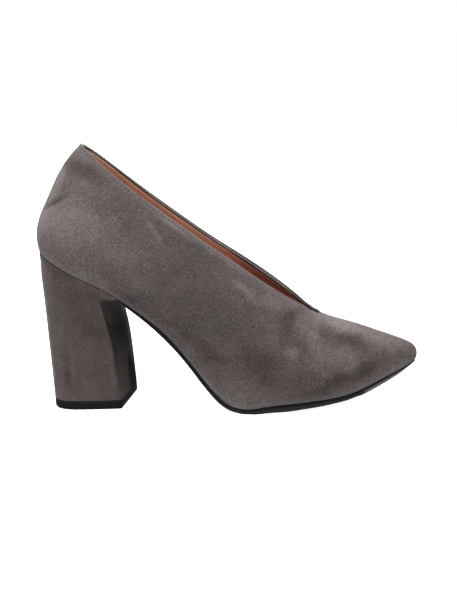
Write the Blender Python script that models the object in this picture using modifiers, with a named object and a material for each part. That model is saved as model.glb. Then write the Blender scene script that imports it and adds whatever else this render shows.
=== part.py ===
"""Right-foot suede pump: V-cut front, pointed toe, tall block heel.

Built in millimetres from the heel's back, the middle line and the floor, then stood on the origin in
metres: +X to the toe, +Y to the inner side of the foot, +Z up.
"""
import bmesh
import bpy
import numpy as np

# Driving sizes, in millimetres
WALL = 1.8
GAP = 0.3
INSOLE_THICK = 2.2
INSOLE_CLEAR = 2.9
INSOLE_ROUND = 0.2
SOLE_INSET = 0.9
SOLE_ROUND = 0.8
SOLE_FULLEST = 0.65
LIP_X = 52.5
SOLE_START = LIP_X + 0.5
HEEL_CORNER = 2.2
HEEL_POWER = 2.9
HEEL_WIDEST = 0.52
TOP_PIECE_HIGH = 4.7

# How finely the surfaces are drawn
UPPER_STEPS = 3
UPPER_ROWS = 12
SOLE_STEPS = 3
SOLE_ACROSS = 6
INSOLE_STEPS = 2
INSOLE_ACROSS = 4
HEEL_STEPS = 2
METRES = 0.001
WELD = 0.00002

OUTER = -1
INNER = 1

# Sections from the heel's back round to the toe's tip, one list for both sides.
# foot_x, foot_z: the feather line in the side view; outer, inner: its half widths;
# top_x, top_z: the collar, or the ridge in front of the throat; open: half width of the collar;
# facing: where the wall looks in plan (0 back, 90 sideways, 180 front);
# low_out, low_up: the wall's lower handle; shoulder, drop: its upper handle; sole: sole thickness
STATION_COLUMNS = ("name", "foot_x", "outer", "inner", "foot_z", "top_x", "open", "ridge_y", "top_z",
                   "facing", "low_out", "low_up", "shoulder", "drop", "sole")
STATIONS = (
    ("back",        0.4,  0.0,  0.0, 92.0,  30.0,  0.0, 0.0, 156.3,   0, 4.6, 0.35, 0.61, 0.27, 2.0),
    ("heel_turn",   4.5, 13.5, 13.5, 90.6,  32.6,  5.7, 0.0, 154.5,  32, 4.0, 0.34, 0.65, 0.28, 2.0),
    ("heel_side",  15.0, 23.5, 23.3, 86.8,  41.5, 10.2, 0.0, 147.0,  66, 3.4, 0.32, 0.74, 0.30, 2.0),
    ("heel_wide",  29.0, 27.8, 27.2, 80.8,  54.0, 13.6, 0.0, 136.0,  86, 3.2, 0.32, 0.90, 0.32, 2.0),
    ("seat_end",   46.0, 28.6, 27.4, 72.5,  67.0, 14.5, 0.0, 125.4,  90, 3.0, 0.33, 1.00, 0.33, 2.0),
    ("shank",      66.0, 28.2, 25.6, 58.5,  83.0, 15.0, 0.3, 112.9,  90, 2.5, 0.33, 1.06, 0.32, 2.1),
    ("waist",      86.0, 29.2, 24.4, 39.5, 100.0, 16.2, 0.6,  99.9,  90, 2.0, 0.33, 1.08, 0.30, 2.0),
    ("low_waist", 104.0, 32.0, 26.0, 16.8, 116.0, 17.8, 0.9,  88.5,  90, 2.0, 0.33, 1.05, 0.27, 2.5),
    ("tread",     122.0, 35.4, 30.8,  3.7, 132.0, 18.4, 1.2,  77.2,  90, 2.4, 0.33, 0.97, 0.22, 3.6),
    ("ball",      140.0, 36.8, 34.8,  4.4, 149.0, 13.5, 1.6,  64.8,  90, 3.0, 0.34, 0.82, 0.13, 4.3),
    ("joint",     158.0, 34.6, 35.4,  6.2, 165.0,  0.0, 2.0,  53.6,  90, 3.2, 0.34, 0.62, 0.00, 3.8),
    ("toe_back",  178.0, 28.0, 31.2,  8.2, 181.5,  0.0, 2.5,  47.0,  90, 3.2, 0.34, 0.58, 0.00, 3.5),
    ("toe_mid",   198.0, 18.6, 23.8, 13.3, 199.0,  0.0, 3.0,  41.2,  92, 2.8, 0.34, 0.56, 0.00, 3.0),
    ("toe_front", 213.0,  9.4, 15.2, 18.4, 211.8,  0.0, 3.0,  36.6, 100, 2.2, 0.34, 0.58, 0.00, 2.1),
    ("toe_turn",  221.0,  2.2,  8.2, 21.2, 217.4,  0.0, 3.0,  34.2, 130, 2.2, 0.34, 0.70, 0.02, 1.4),
    ("tip",       223.4, -3.0,  3.0, 22.0, 218.8,  0.0, 3.0,  33.4, 180, 2.9, 0.30, 1.27, 0.10, 1.2),
)
THROAT = [row[0] for row in STATIONS].index("joint")

# Heel sections from the top piece up to the seat; level: share of the way up, width: share of the
# seat's width, taper: how much the front is narrower, square: how far the rounded back is squared off
HEEL_COLUMNS = ("level", "back_x", "front_x", "width", "taper", "square")
HEEL = (
    (0.000,  5.0, 49.8, 0.840, 0.090, 1.00),
    (0.300,  4.1, 48.2, 0.875, 0.075, 0.85),
    (0.600,  2.9, 46.6, 0.915, 0.060, 0.60),
    (0.850,  1.5, 45.0, 0.963, 0.030, 0.25),
    (0.925,  1.1, 45.2, 0.980, 0.015, 0.12),
    (0.960,  0.9, 47.2, 0.988, 0.010, 0.05),
    (0.982,  0.7, 50.2, 0.992, 0.004, 0.02),
    (1.000,  0.6, LIP_X, 0.995, 0.000, 0.00),
)

# Top piece from the floor up; size: share of the heel's lowest section
TOP_PIECE_COLUMNS = ("height", "size")
TOP_PIECE = (
    (0.0, 0.982),
    (0.5, 0.998),
    (TOP_PIECE_HIGH - 0.3, 1.000),
    (TOP_PIECE_HIGH, 0.992),
)

# Colour and roughness of each piece
LOOKS = {
    "upper": ((0.130, 0.115, 0.110), 0.9),
    "insole": ((0.330, 0.160, 0.090), 0.6),
    "outsole": ((0.020, 0.020, 0.022), 0.5),
    "heel": ((0.120, 0.105, 0.100), 0.9),
    "heel_top_piece": ((0.015, 0.015, 0.017), 0.6),
}


def column(table, names, name):
    return np.array([row[names.index(name)] for row in table], float)


def station(name):
    return column(STATIONS, STATION_COLUMNS, name)


def spline(knots, values, ends):
    """Cubic spline through the knots: ends 'flat' have no slope, ends 'free' no curvature."""
    count = len(knots)
    step = np.diff(knots)
    slope = np.diff(values) / step
    system = np.zeros((count, count))
    right = np.zeros(count)
    for i in range(1, count - 1):
        system[i, i - 1:i + 2] = 1 / step[i - 1], 2 / step[i - 1] + 2 / step[i], 1 / step[i]
        right[i] = 3 * (slope[i - 1] / step[i - 1] + slope[i] / step[i])
    for here, beside, edge in ((0, 1, 0), (count - 1, count - 2, -1)):
        system[here, here] = 1 if ends == "flat" else 2
        system[here, beside] = 0 if ends == "flat" else 1
        right[here] = 0 if ends == "flat" else 3 * slope[edge]
    tangent = np.linalg.solve(system, right)

    def at(x):
        i = np.clip(np.searchsorted(knots, x, side="right") - 1, 0, count - 2)
        t = (x - knots[i]) / step[i]
        ahead = t * t * (3 - 2 * t)
        bend = t * (1 - t) * step[i] * ((1 - t) * tangent[i] - t * tangent[i + 1])
        return (1 - ahead) * values[i] + ahead * values[i + 1] + bend

    return at


# Girth is the way along the feather line from the heel's back; every column is a smooth curve over it
FEATHER_KNOTS = np.stack([station("foot_x"), (station("outer") + station("inner")) / 2, station("foot_z")], 1)
GIRTH = np.append(0.0, np.cumsum(np.linalg.norm(np.diff(FEATHER_KNOTS, axis=0), axis=1)))
CURVE = {name: spline(GIRTH, station(name), "flat") for name in STATION_COLUMNS[1:]}
CURVE.update({name: spline(GIRTH, station(name), "free") for name in ("outer", "inner", "facing")})
CURVE["open"] = spline(GIRTH[:THROAT + 1], station("open")[:THROAT + 1], "free")
BED = spline(station("foot_x"), station("foot_z"), "free")


def girths(steps):
    """Girth values with the same number of steps between every two stations."""
    spans = [np.linspace(a, b, steps, endpoint=False) for a, b in zip(GIRTH[:-1], GIRTH[1:])]
    return np.concatenate(spans + [GIRTH[-1:]])


def girth_at(x):
    fine = girths(20)
    return np.interp(x, CURVE["foot_x"](fine), fine)


def bed_normal(x):
    """Upward normal of the shoe's bed in the side view."""
    slope = BED(x + 0.5) - BED(x - 0.5)
    return np.stack([-slope, 0 * slope, 1 + 0 * slope], -1) / np.sqrt(1 + slope ** 2)[..., None]


def feather(girth, side):
    """Line where the upper meets the sole."""
    x = CURVE["foot_x"](girth)
    half = CURVE["outer" if side == OUTER else "inner"](girth)
    return np.stack([x, side * half, BED(x)], -1)


def wall(girth, height, side):
    """Outside of the upper, from the feather line (height 0) to the collar or ridge (height 1)."""
    foot = feather(girth, side)
    half = np.where(girth < GIRTH[THROAT], CURVE["open"](np.minimum(girth, GIRTH[THROAT])), 0.0)
    top = np.stack([CURVE["top_x"](girth), CURVE["ridge_y"](girth) + side * half, CURVE["top_z"](girth)], -1)
    facing = np.radians(CURVE["facing"](girth))
    out = np.stack([-np.cos(facing), side * np.sin(facing), 0 * facing], -1)
    inset = np.sum((foot - top) * out, -1)[..., None]
    along = top - foot + inset * out
    low = foot + CURVE["low_up"](girth)[..., None] * along + CURVE["low_out"](girth)[..., None] * out
    high = top - CURVE["drop"](girth)[..., None] * along + CURVE["shoulder"](girth)[..., None] * inset * out
    t = height[..., None]
    return (1 - t) ** 3 * foot + 3 * t * (1 - t) ** 2 * low + 3 * t * t * (1 - t) * high + t ** 3 * top


def outline(girth, side, inset):
    """Feather line moved inward in plan, still on the bed."""
    step = 0.05
    behind, ahead = np.maximum(girth - step, 0), np.minimum(girth + step, GIRTH[-1])
    run = feather(ahead, side) - feather(behind, side)
    run[girth <= 0] = (0, side, 0)
    run[girth >= GIRTH[-1]] = (0, -side, 0)
    inward = np.stack([run[:, 1] * side, -run[:, 0] * side, 0 * run[:, 0]], -1)
    points = feather(girth, side) + inset * inward / np.linalg.norm(inward, axis=1)[:, None]
    points[:, 2] = BED(points[:, 0])
    return points


def slab(girth, inset, over, under, across, rounding):
    """Closed cross sections of a plate on the bed, between two heights off it, its lower rim drawn in."""
    outer, inner = outline(girth, OUTER, inset), outline(girth, INNER, inset)
    share = np.linspace(0, 1, across + 1)[None, :, None]
    rows = outer[:, None] * (1 - share) + inner[:, None] * share
    normal = bed_normal(rows[..., 0])
    middle = (outer + inner)[:, None] / 2
    half = np.linalg.norm((inner - outer)[:, :2], axis=1)[:, None, None] / 2
    low = rows + (middle - rows) * np.minimum(rounding / np.maximum(half, rounding), 0.9)
    over, under = (np.broadcast_to(value, girth.shape)[:, None, None] for value in (over, under))
    top = rows + over * normal
    side = rows + (over + SOLE_FULLEST * (under - over)) * normal
    bottom = low + under * normal
    return np.concatenate([top, side[:, -1:], bottom[:, ::-1], side[:, :1]], 1)


def heel_ring(level):
    """Plan of the heel at a share of its height, from front corner to front corner round the back."""
    levels = column(HEEL, HEEL_COLUMNS, "level")
    back, front, width, taper, square = (np.interp(level, levels, column(HEEL, HEEL_COLUMNS, name))
                                         for name in HEEL_COLUMNS[1:])
    girth = girths(HEEL_STEPS)
    girth = np.append(girth[CURVE["foot_x"](girth) < LIP_X - 2 * HEEL_CORNER], girth_at(LIP_X))
    foot_x = CURVE["foot_x"](girth)
    share = (foot_x - foot_x[0]) / (foot_x[-1] - foot_x[0])
    squared = (1 - np.maximum(1 - share / HEEL_WIDEST, 0) ** HEEL_POWER) ** (1 / HEEL_POWER)
    easing = HEEL_CORNER * (1 - np.sqrt(0.5))
    sides = []
    for name, side in (("outer", OUTER), ("inner", INNER)):
        seat = CURVE[name](girth)
        half = (seat + square * (squared * seat.max() - seat)) * width * (1 - taper * share ** 2)
        x = back + share * (front - back)
        x[-1] -= HEEL_CORNER
        x = np.append(x, (front - easing, front))
        half = np.append(half, (half[-1] - easing, half[-1] - HEEL_CORNER))
        sides.append(np.stack([x, half * side], 1))
    return np.concatenate([sides[0][::-1], sides[1][1:]])


def loft(sections):
    """Quads between closed sections of equal count, one after another."""
    rows, around = sections.shape[:2]
    return [(r * around + c, r * around + (c + 1) % around, (r + 1) * around + (c + 1) % around,
             (r + 1) * around + c) for r in range(rows - 1) for c in range(around)]


def across_ring(count, start):
    """Faces that close a heel section from side to side, for one that isn't flat."""
    half = count // 2
    faces = [(start + i, start + i + 1, start + count - 2 - i, start + count - 1 - i) for i in range(half - 1)]
    return faces + [(start + half - 1, start + half, start + half + 1)]


def upper_piece():
    """Open surface of the upper, both sides in one ring: they weld along the ridge and at the tip."""
    girth, height = np.meshgrid(girths(UPPER_STEPS), np.linspace(0, 1, UPPER_ROWS + 1))
    rings = np.concatenate([wall(girth, height, OUTER), wall(girth, height, INNER)[:, -2:0:-1]], 1)
    return rings, loft(rings)


def insole_piece():
    sections = slab(girths(INSOLE_STEPS), INSOLE_CLEAR, INSOLE_THICK, 0.0, INSOLE_ACROSS, INSOLE_ROUND)
    return sections, loft(sections)


def outsole_piece():
    """Sole from the heel's lip to the tip, flat on the floor under the ball."""
    girth = girths(SOLE_STEPS)
    girth = np.append(girth_at(SOLE_START), girth[CURVE["foot_x"](girth) > SOLE_START + 2.0])
    sections = slab(girth, SOLE_INSET, -GAP, -GAP - CURVE["sole"](girth), SOLE_ACROSS, SOLE_ROUND)
    sections[..., 2] = np.maximum(sections[..., 2], 0.0)
    back_end = tuple(range(sections.shape[1]))
    return sections, loft(sections) + [back_end]


def heel_piece():
    """Block heel, its seat following the bed and its front running out into a lip under the sole."""
    base = TOP_PIECE_HIGH + GAP
    rings = []
    for level in column(HEEL, HEEL_COLUMNS, "level"):
        plan = heel_ring(level)
        seat = BED(plan[:, 0]) - GAP / bed_normal(plan[:, 0])[:, 2]
        rings.append(np.column_stack([plan, base + level * (seat - base)]))
    rings = np.array(rings)
    count = rings.shape[1]
    return rings, loft(rings) + across_ring(count, 0) + across_ring(count, count * (len(rings) - 1))


def top_piece():
    plan = heel_ring(0.0)
    middle = plan.mean(axis=0)
    rings = np.array([np.column_stack([middle + (plan - middle) * size, np.full(len(plan), height)])
                      for height, size in TOP_PIECE])
    count = len(plan)
    under, over = tuple(range(count)), tuple(range(count * (len(rings) - 1), count * len(rings)))
    return rings, loft(rings) + [under, over]


def material(name):
    colour, rough = LOOKS[name]
    made = bpy.data.materials.new(name)
    made.use_nodes = True
    shader = made.node_tree.nodes["Principled BSDF"]
    shader.inputs["Base Color"].default_value = (*colour, 1.0)
    shader.inputs["Roughness"].default_value = rough
    return made


def add_node(name, points, faces, collection):
    """Welded mesh object in metres, facing outward."""
    mesh = bpy.data.meshes.new(name)
    mesh.from_pydata(points * METRES, [], faces)
    work = bmesh.new()
    work.from_mesh(mesh)
    bmesh.ops.remove_doubles(work, verts=work.verts, dist=WELD)
    bmesh.ops.dissolve_degenerate(work, dist=WELD, edges=work.edges)
    bmesh.ops.recalc_face_normals(work, faces=work.faces)
    work.to_mesh(mesh)
    work.free()
    mesh.shade_smooth()
    mesh.set_sharp_from_angle(angle=np.radians(35))
    mesh.materials.append(material(name))
    node = bpy.data.objects.new(name, mesh)
    collection.objects.link(node)
    return node


for old in list(bpy.data.objects):
    bpy.data.objects.remove(old, do_unlink=True)

shoe = bpy.data.collections.new("suede_block_heel_pump")
bpy.context.scene.collection.children.link(shoe)

pieces = {
    "upper": upper_piece(),
    "insole": insole_piece(),
    "outsole": outsole_piece(),
    "heel": heel_piece(),
    "heel_top_piece": top_piece(),
}

# Bottom centre of the whole shoe's box goes to the origin
every_point = np.concatenate([points.reshape(-1, 3) for points, _ in pieces.values()])
low, high = every_point.min(axis=0), every_point.max(axis=0)
origin = np.array([(low[0] + high[0]) / 2, (low[1] + high[1]) / 2, low[2]])

for name, (points, faces) in pieces.items():
    add_node(name, points.reshape(-1, 3) - origin, faces, shoe)

shell = bpy.data.objects["upper"].modifiers.new("wall", "SOLIDIFY")
shell.thickness = WALL * METRES
shell.offset = -1.0
shell.use_even_offset = True
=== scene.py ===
"""Looks of the suede pump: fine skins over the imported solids, their finishes, the light and the camera.

The shoe is worked out in millimetres from the heel's back, the middle line and the floor, as its solids
are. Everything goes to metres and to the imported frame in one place, to_frame.
"""
import math

import bmesh
import bpy
import numpy as np
from mathutils import Matrix, Vector, noise


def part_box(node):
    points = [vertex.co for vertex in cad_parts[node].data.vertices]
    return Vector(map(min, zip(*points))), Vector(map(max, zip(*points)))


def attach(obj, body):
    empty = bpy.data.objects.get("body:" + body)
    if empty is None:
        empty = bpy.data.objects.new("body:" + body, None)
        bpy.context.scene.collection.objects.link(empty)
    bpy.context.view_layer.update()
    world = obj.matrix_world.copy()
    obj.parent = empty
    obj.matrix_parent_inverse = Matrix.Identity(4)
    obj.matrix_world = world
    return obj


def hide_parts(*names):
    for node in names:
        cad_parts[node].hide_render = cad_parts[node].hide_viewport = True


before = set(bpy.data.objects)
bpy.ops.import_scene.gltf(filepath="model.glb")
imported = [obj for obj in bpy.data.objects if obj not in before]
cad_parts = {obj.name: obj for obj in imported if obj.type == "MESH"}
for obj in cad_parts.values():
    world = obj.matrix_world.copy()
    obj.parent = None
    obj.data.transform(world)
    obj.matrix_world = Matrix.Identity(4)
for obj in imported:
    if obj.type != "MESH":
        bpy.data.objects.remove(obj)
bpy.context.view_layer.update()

METRES = 0.001
WELD = 0.00002
OUTER = -1
INNER = 1
BOTH = 0

# Layers of the upper, in millimetres
SUEDE_THICK = 0.95
LINING_START = 1.05
LINING_THICK = 0.75
LINING_FOOT = 0.02
# Painted shade along the lining's top edge: how dark, how wide, and the girths over which it grows
LINING_TOP_SHADE = (0.3, 0.75)
LINING_TOP_SHADE_WIDE = (0.5, 1.3)
LINING_TOP_SHADE_GIRTH = (125.0, 145.0)
RIM_ROUND = 0.32
RIM_ANGLE = 50.0
RIM_SEGMENTS = 2

# Slow waviness of the lasted suede, in millimetres: size and depth
UNEVEN = ((17.0, 0.28), (6.0, 0.07))

# The sewn collar edge, in millimetres; it stands proud by what its rounding takes off
COLLAR_PROUD = 0.4
STITCH_IN = 1.7
STITCH_PITCH = 2.6
STITCH_LONG = 1.7
STITCH_THICK = 0.42
STITCH_GROOVE = 0.22
STITCH_GROOVE_WIDE = 0.6
STITCH_STANDS = 0.02
HOLE_SIZE = 0.85
HOLE_SUNK = 0.03
HOLE_DEEP = 0.36
APEX_STRETCH = 0.8
COLLAR_SMOOTH = 4.0
COLLAR_ROLL = 0.08
COLLAR_ROLL_IN = 0.7
COLLAR_ROLL_WIDE = 0.5

# Point of the V, in millimetres: behind it the inner edge stands above the outer one. A pair is the
# distances behind the point between which a form or a mark comes in
V_POINT_X = 168.5
V_INNER_RISE = 0.55
V_OUTER_DIP = 1.0
V_LAP_FROM = (12.0, 6.0)
V_LAP_TO = (0.0, 1.8)
SLIT_HALF = 0.45
SLIT_RUN = 3.0
PROUD_FROM = (0.0, 9.0)
EDGE_HIGHLIGHT_FROM = (2.0, 8.0)
LINING_DROP_FROM = (0.0, 2.0)
SEWN_PAST_POINT = 6.0
HIGHLIGHT_BAND_PAST_POINT = 5.0

# Girths over which the collar's cut edge turns dark, and then keeps a share of its dark
RIM_DARK_FROM = (120.0, 150.0)
RIM_DARK_TO = (188.0, 172.0)
RIM_DARK_LEFT = 0.9

# Girths over which the turned edge gets painted light towards the throat, where it lies in shade
THROAT_PAINTED_LIGHT = (162.0, 184.0)

# How far the outer and the inner collar stand above their common line, by girth, in millimetres
RISE_GIRTH = (0, 4, 14, 32, 60, 95, 130, 152, 166, 182, 192, 204)
OUTER_RISE = (0.0, 0.8, 0.8, 0.15, 0.0, 0.3, 0.55, 0.6, 0.25, 0.0, 0.0, 0.0)
INNER_RISE = (0.0, 0.0, 0.0, 0.0, 0.0, 0.0, 0.0, 0.0, 0.0, 0.2, 0.6, 0.0)

# Inside of the collar by girth: width of the suede folded in, and of the dark line down to the lining
FOLD_GIRTH = (0, 8, 14, 18, 23, 32, 72, 110, 142, 160, 172, 182, 190, 205)
FOLD_WIDE = (1.6, 1.0, 0.6, 0.45, 0.4, 0.5, 1.45, 1.4, 1.6, 1.6, 2.2, 3.2, 6.2, 9.5)
FOLD_LINE_SOFT = 0.15
DARK_LINE_WIDE = (0.0, 0.1, 0.35, 0.3, 0.2, 0.1, 0.2, 0.5, 0.8, 1.9, 1.3, 1.6, 1.0, 0.6)

# Plates under the foot and the heel, in millimetres
GAP = 0.3
SEAT_GAP = 0.45
LAYER_CLEAR = 0.02
SOCK_THICK = 2.2
SOCK_CLEAR = 2.05
SOLE_INSET = 0.9
SOLE_INSET_TIP = -0.2
SOLE_RUN_OUT = 5.0
SOLE_RUN_OUT_THIN = 0.3
SOLE_JOG_X = 193.0
SOLE_JOG_DRAW = 0.25
SOLE_JOG_DRAW_SOFT = 0.5
SOLE_JOG_STEP = 0.4
SOLE_JOG_STEP_SOFT = 0.4
SOLE_RUBBED = 0.13
SOLE_RUBBED_X = (105.0, 130.0)
SOLE_RUBBED_DOWN = (0.35, 0.55)
SOLE_TIP_THIN = 0.6
SOLE_TIP_X = (213.0, 223.4)
SOLE_MORE_X = (56, 66, 78, 84, 92, 101, 108, 113, 120, 128, 136, 150, 165, 178, 188, 195, 201, 211)
SOLE_MORE = (0.0, 0.5, 1.25, 1.35, 1.1, 0.85, 0.6, 0.4, 0.4, 0.8, 0.9, 1.5, 0.85, 0.1, 0.1, 0.8, 1.0, 1.35)
SOLE_DOME_X = (112, 128, 140, 152, 165)
SOLE_DOME = (0.0, 0.75, 0.75, 0.3, 0.0)
SOLE_DOME_POWER = 4
PLATE_MOST_DRAWN = 0.9
SOCK_TOP_TILT = 0.5
SEAT_ROUND = 0.35
SEAT_PAD_IN = 0.9
SEAT_PAD_CLEAR = 0.1
# The seat pad's tone is painted shade, for the gap between the upper and the heel
SEAT_PAD_SHADE = -1.5
FEATHER_TUCK = 0.2
FEATHER_TUCK_HIGH = 1.0
REACH_X = (60, 80, 97, 106, 113, 117, 122, 136, 150, 165, 178, 183, 195, 201, 211, 222)
FEATHER_REACH = (0.06, -0.4, -0.7, -0.2, 0.5, 0.5, -0.2, -1.1, -0.9, -0.4, 0.5, 0.8, 0.7, 0.3, -0.25, -0.3)
LIP_X = 52.5
SOLE_START = LIP_X + 0.2
HEEL_CORNER_LEVEL = (0.6, 0.82)
HEEL_CORNER = (1.3, 1.2)
HEEL_CORNER_CLEAR = 0.3
HEEL_POWER = 2.9
HEEL_WIDEST = 0.52
TOP_PIECE_HIGH = 5.2

# Sections from the heel's back round to the toe's tip, one list for both sides.
# foot_x, foot_z: the feather line in the side view; outer, inner: its half widths;
# top_x, top_z: the collar, or the ridge in front of the throat; open: half width of the collar;
# facing: where the wall looks in plan (0 back, 90 sideways, 180 front);
# low_out, low_up: the wall's lower handle; shoulder, drop: its upper handle; sole: sole thickness
STATION_COLUMNS = ("name", "foot_x", "outer", "inner", "foot_z", "top_x", "open", "ridge_y", "top_z",
                   "facing", "low_out", "low_up", "shoulder", "drop", "sole")
STATIONS = (
    ("back",        0.4,  0.0,  0.0, 95.2,  30.0,  0.0, 0.0, 156.3,   0, 5.4, 0.35, 0.61, 0.27, 2.0),
    ("heel_turn",   4.5, 13.5, 13.5, 93.2,  32.6,  5.7, 0.0, 154.5,  32, 4.0, 0.34, 0.65, 0.28, 2.0),
    ("heel_side",  15.0, 23.5, 23.3, 88.1,  41.5, 10.2, 0.0, 147.0,  66, 3.4, 0.32, 0.74, 0.30, 2.0),
    ("heel_wide",  29.0, 27.8, 27.2, 81.1,  54.0, 13.6, 0.0, 136.0,  86, 3.2, 0.32, 0.90, 0.32, 2.0),
    ("seat_end",   46.0, 28.6, 27.4, 72.5,  67.0, 14.5, 0.0, 125.4,  90, 3.0, 0.33, 1.00, 0.33, 2.0),
    ("shank",      66.0, 28.2, 25.6, 58.5,  83.0, 15.0, 0.3, 112.9,  90, 2.5, 0.33, 1.06, 0.32, 2.1),
    ("waist",      86.0, 29.2, 24.4, 39.5, 100.0, 16.2, 0.6,  99.9,  90, 2.0, 0.33, 1.08, 0.30, 2.0),
    ("low_waist", 104.0, 32.0, 26.0, 16.8, 116.0, 17.8, 0.9,  88.5,  90, 2.0, 0.33, 1.05, 0.27, 2.5),
    ("tread",     122.0, 35.4, 30.8,  3.7, 132.0, 18.4, 1.2,  77.2,  90, 2.4, 0.33, 0.97, 0.22, 3.6),
    ("ball",      140.0, 36.8, 34.8,  4.4, 149.0, 13.5, 1.6,  64.8,  90, 3.0, 0.34, 0.82, 0.13, 4.3),
    ("joint",     158.0, 34.6, 35.4,  6.2, 165.0,  0.0, 2.0,  53.6,  90, 3.2, 0.34, 0.62, 0.00, 3.8),
    ("toe_back",  178.0, 28.0, 31.2,  8.2, 181.5,  0.0, 2.5,  47.0,  90, 3.2, 0.34, 0.58, 0.00, 3.5),
    ("toe_mid",   198.0, 18.6, 23.8, 13.3, 199.0,  0.0, 3.0,  41.2,  92, 2.8, 0.34, 0.56, 0.00, 3.0),
    ("toe_front", 213.0,  9.4, 15.2, 18.4, 211.8,  0.0, 3.0,  36.6, 100, 2.2, 0.34, 0.58, 0.00, 2.1),
    ("toe_turn",  221.0,  2.2,  8.2, 21.2, 217.4,  0.0, 3.0,  34.2, 130, 2.2, 0.34, 0.70, 0.02, 1.4),
    ("tip",       223.4, -3.0,  3.0, 22.0, 218.8,  0.0, 3.0,  33.4, 180, 2.9, 0.30, 1.27, 0.10, 1.2),
)
THROAT = [row[0] for row in STATIONS].index("joint")

# Hollow across the back above the counter, in millimetres: depth, height of its middle, half height,
# and the girths between which it fades out on each side
BACK_HOLLOW = 2.2
BACK_HOLLOW_Z = 128.0
BACK_HOLLOW_HIGH = 13.5
BACK_HOLLOW_GIRTH = (36.0, 6.0)

# Heel sections from the top piece up to the seat; level: share of the way up, width: share of the
# seat's width, taper: how much the front is narrower, square: how far the rounded back is squared off
HEEL_COLUMNS = ("level", "back_x", "front_x", "width", "taper", "square")
HEEL = (
    (0.000,  4.8, 49.8, 0.840, 0.090, 1.00),
    (0.300,  3.9, 48.6, 0.875, 0.075, 0.85),
    (0.600,  2.7, 46.4, 0.915, 0.060, 0.60),
    (0.770,  1.7, 43.5, 0.948, 0.038, 0.34),
    (0.885,  1.0, 43.0, 0.972, 0.016, 0.13),
    (0.912,  0.9, 44.6, 0.980, 0.011, 0.06),
    (0.938,  0.7, 48.0, 0.986, 0.005, 0.03),
    (0.962,  0.5, 50.6, 0.990, 0.003, 0.02),
    (1.000,  0.3, LIP_X, 0.995, 0.000, 0.00),
)

# Edges of the plates from top to bottom; down: share of the thickness, draw: millimetres drawn in
SOLE_EDGE = ((0.00, 0.35), (0.10, 0.08), (0.30, 0.00), (0.60, 0.05),
             (0.80, 0.30), (0.93, 0.80), (1.00, 1.60))
SOCK_EDGE = ((0.00, 0.60), (0.12, 0.25), (0.40, 0.00), (1.00, 0.00))

# Side of the top piece from the floor up; height in millimetres, size: share of the heel's lowest section
TOP_PIECE_EDGE = ((0.00, 0.972), (0.12, 0.984), (0.40, 0.994), (0.90, 0.999), (2.40, 1.000),
                  (4.60, 1.001), (4.90, 1.000), (5.10, 0.995), (TOP_PIECE_HIGH, 0.984))

# Creases drawn in the side view, by side: name, x and z of both ends, bow of the middle, half width, and
# depth (minus is a ridge)
CREASES = {
    OUTER: (
        ("back_fold",          9,  121, 26.5,   129, -0.8, 1.2,  0.6),
        ("back_hollow",       20,  133,   44, 139.5,    2,   5, 0.45),
        ("quarter_pull",      67,  119,   83,    96,  0.8,   2, -0.6),
        ("quarter_trough",    73,  118,   89,    96,  1.4, 3.2,  0.5),
        ("instep_pull",      119,   77,  138,    60,    1, 2.6, -0.5),
        ("instep_trough",    125,   77,  143,    58,  1.4, 3.2, 0.32),
        ("flex_upper",       145,   56,  158,    53, -1.8, 3.4, 0.55),
        ("flex_lower",       150,   50,  148,    37,  1.6,   4, 0.45),
        ("toe_hollow",       172,   17,  200,    26, -1.8, 4.5,  0.5),
        ("ridge_hollow",     170, 44.5,  200,  31.5,  1.2, 4.5, 0.45),
    ),
    INNER: (
        ("inner_back_fold",   10,  118,   24, 126.5, -0.8, 1.4, 0.38),
        ("inner_pull",        70,  114,   86,    93,  1.4, 2.6, -0.5),
        ("inner_trough",      76,  112,   92,    92,  1.6, 3.4,  0.4),
        ("inner_flex_upper", 143,   58,  157,    52, -1.5, 3.4, 0.55),
        ("inner_flex_lower", 152,   47,  149,    33,  1.5,   4, 0.45),
        ("inner_toe",        172,   40,  196,    30,    1, 4.5,  0.4),
    ),
}

# Shoulders beside a crease: share of its depth, and way out in half widths; how sharply creases end; and
# the way across the middle over which marks of one side fade
CREASE_SHOULDER = 0.35
CREASE_SHOULDER_OUT = 2.0
CREASE_END_POWER = 0.8
SIDE_FADE = 8.0
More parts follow.
